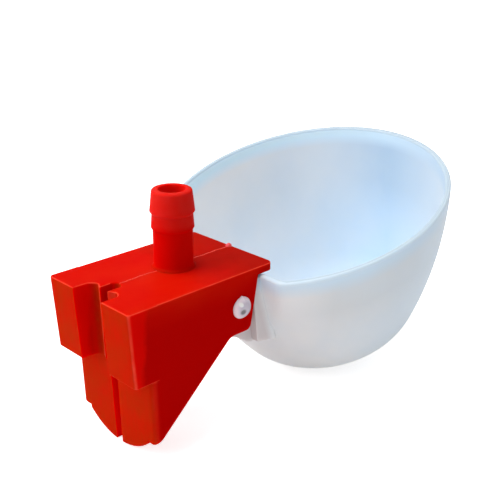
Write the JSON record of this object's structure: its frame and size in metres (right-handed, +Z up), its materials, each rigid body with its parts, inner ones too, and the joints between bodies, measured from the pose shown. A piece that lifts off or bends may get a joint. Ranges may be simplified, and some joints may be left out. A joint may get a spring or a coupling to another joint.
{
  "type": "chick waterer",
  "caption": "Tipping drinking bowl on a moulded cage bracket, with a barbed water inlet, a valve that the full bowl closes, hook ears and a slit column.",
  "frame": {"origin": "on the water inlet's axis, at the roof's top face", "axes": "+Z up along the inlet, +Y from the cage to the bowl, +X to the side of the hinge pin's head"},
  "size_m": [0.072, 0.0992, 0.0546],
  "materials": {
    "red_moulding": "satin moulded plastic",
    "pin_plastic": "milky translucent plastic",
    "milky_moulding": "milky white moulded plastic",
    "seal_rubber": "black rubber",
    "spring_steel": "drawn stainless wire"
  },
  "bodies": {
    "mounting": {"bracket": "red_moulding", "inlet_barb": "red_moulding", "hinge_pin": "pin_plastic", "return_spring": "spring_steel"},
    "drinking_cup": {"bowl": "milky_moulding", "valve_seal": "seal_rubber"}
  },
  "joints": [
    {"name": "bowl_tip", "type": "hinge", "parent": "mounting", "child": "drinking_cup", "pos_m": [0, 0.0074, -0.008], "axis": [1, 0, 0], "range_deg": [-17.4, 0], "stiffness_Nm_per_rad": 0.023, "springref_deg": 17.19, "deforming": ["return_spring"]}
  ]
}
